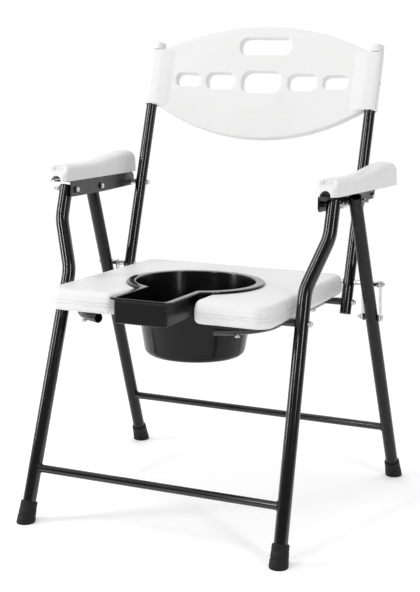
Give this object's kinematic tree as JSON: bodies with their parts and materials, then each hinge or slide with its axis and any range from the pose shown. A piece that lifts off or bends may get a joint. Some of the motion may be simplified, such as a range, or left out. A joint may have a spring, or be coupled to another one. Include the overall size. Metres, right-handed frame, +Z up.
{
  "type": "commode chair",
  "caption": "Folding steel-tube commode chair with plastic seat, backrest and armrests, and a lift-out pan with a front channel.",
  "frame": {"origin": "on the floor, under the middle of the whole chair's box", "axes": "+Z up, the sitter faces -Y, +X is the sitter's left"},
  "size_m": [0.6344, 0.623, 0.9308],
  "materials": {
    "black_paint": "gloss black enamel on steel",
    "white_plastic": "satin white blow-moulded polyethylene",
    "black_plastic": "semi-gloss black polypropylene",
    "foot_rubber": "dull dark grey rubber",
    "zinc": "bright zinc-plated steel"
  },
  "bodies": {
    "left_arm": {"arm_back_bolt_left": "zinc", "arm_back_nut_left": "zinc", "arm_bolts_left": "zinc", "arm_bracket_left": "black_paint", "arm_nuts_left": "zinc", "arm_spacer_left": "black_plastic", "arm_washers_left": "black_plastic", "armrest_left": "white_plastic", "armrest_screws_left": "zinc"},
    "right_arm": {"arm_back_bolt_right": "zinc", "arm_back_nut_right": "zinc", "arm_bolts_right": "zinc", "arm_bracket_right": "black_paint", "arm_nuts_right": "zinc", "arm_spacer_right": "black_plastic", "arm_washers_right": "black_plastic", "armrest_right": "white_plastic", "armrest_screws_right": "zinc"},
    "back_frame": {"back_cap_left": "white_plastic", "back_cap_right": "white_plastic", "back_tube_left": "black_paint", "back_tube_plugs": "black_plastic", "back_tube_right": "black_paint", "backrest": "white_plastic", "backrest_screws": "zinc", "link_back_bolts": "zinc", "seat_back_bolts": "zinc", "seat_back_nuts": "zinc"},
    "front_frame": {"front_crossbar": "black_paint", "front_foot_left": "foot_rubber", "front_foot_right": "foot_rubber", "front_leg_left": "black_paint", "front_leg_right": "black_paint", "seat_pivot_bolts": "zinc", "seat_pivot_nuts": "zinc"},
    "left_link": {"link_bar_left": "black_paint", "link_bar_nut_left": "zinc", "link_bolt_left": "zinc", "link_nut_left": "zinc", "link_plates_left": "zinc", "link_washers_left": "black_plastic"},
    "right_link": {"link_bar_nut_right": "zinc", "link_bar_right": "black_paint", "link_bolt_right": "zinc", "link_nut_right": "zinc", "link_plates_right": "zinc", "link_washers_right": "black_plastic"},
    "pan": {"pan": "black_plastic"},
    "rear_frame": {"rear_crossbar": "black_paint", "rear_foot_left": "foot_rubber", "rear_foot_right": "foot_rubber", "rear_leg_left": "black_paint", "rear_leg_right": "black_paint"},
    "seat": {"seat_board": "white_plastic", "seat_rail_left": "black_paint", "seat_rail_right": "black_paint", "seat_screws": "zinc"}
  },
  "joints": [
    {"name": "seat_fold", "type": "hinge", "parent": "front_frame", "child": "seat", "pos_m": [0, -0.15229, 0.403], "axis": [-1, 0, 0], "range_deg": [0, 84]},
    {"name": "left_arm_hinge", "type": "hinge", "parent": "front_frame", "child": "left_arm", "pos_m": [0.27, -0.09038, 0.608], "axis": [-1, 0, 0], "range_deg": [0, 84]},
    {"name": "right_arm_hinge", "type": "hinge", "parent": "front_frame", "child": "right_arm", "pos_m": [-0.27, -0.09038, 0.608], "axis": [-1, 0, 0], "range_deg": [0, 84]},
    {"name": "back_hinge", "type": "hinge", "parent": "seat", "child": "back_frame", "pos_m": [0, 0.10571, 0.4], "axis": [1, 0, 0], "range_deg": [0, 84]},
    {"name": "rear_frame_hinge", "type": "hinge", "parent": "right_arm", "child": "rear_frame", "pos_m": [-0.2765, 0.01899, 0.607], "axis": [1, 0, 0], "range_deg": [0, 50]},
    {"name": "left_link_hinge", "type": "hinge", "parent": "rear_frame", "child": "left_link", "pos_m": [0.2857, 0.12754, 0.37], "axis": [-1, 0, 0], "range_deg": [0, 132]},
    {"name": "right_link_hinge", "type": "hinge", "parent": "rear_frame", "child": "right_link", "pos_m": [-0.2857, 0.12754, 0.37], "axis": [-1, 0, 0], "range_deg": [0, 132]},
    {"name": "pan_lift", "type": "slide", "parent": "seat", "child": "pan", "axis": [0, 0, 1], "range_m": [0, 0.2]}
  ],
  "couplings": [
    {"joint": "left_arm_hinge", "follows": "seat_fold", "ratio": 1},
    {"joint": "right_arm_hinge", "follows": "seat_fold", "ratio": 1},
    {"joint": "back_hinge", "follows": "seat_fold", "ratio": 1},
    {"joint": "rear_frame_hinge", "follows": "seat_fold", "ratio": 0.53396},
    {"joint": "left_link_hinge", "follows": "seat_fold", "ratio": 1.4918},
    {"joint": "right_link_hinge", "follows": "seat_fold", "ratio": 1.4918}
  ]
}
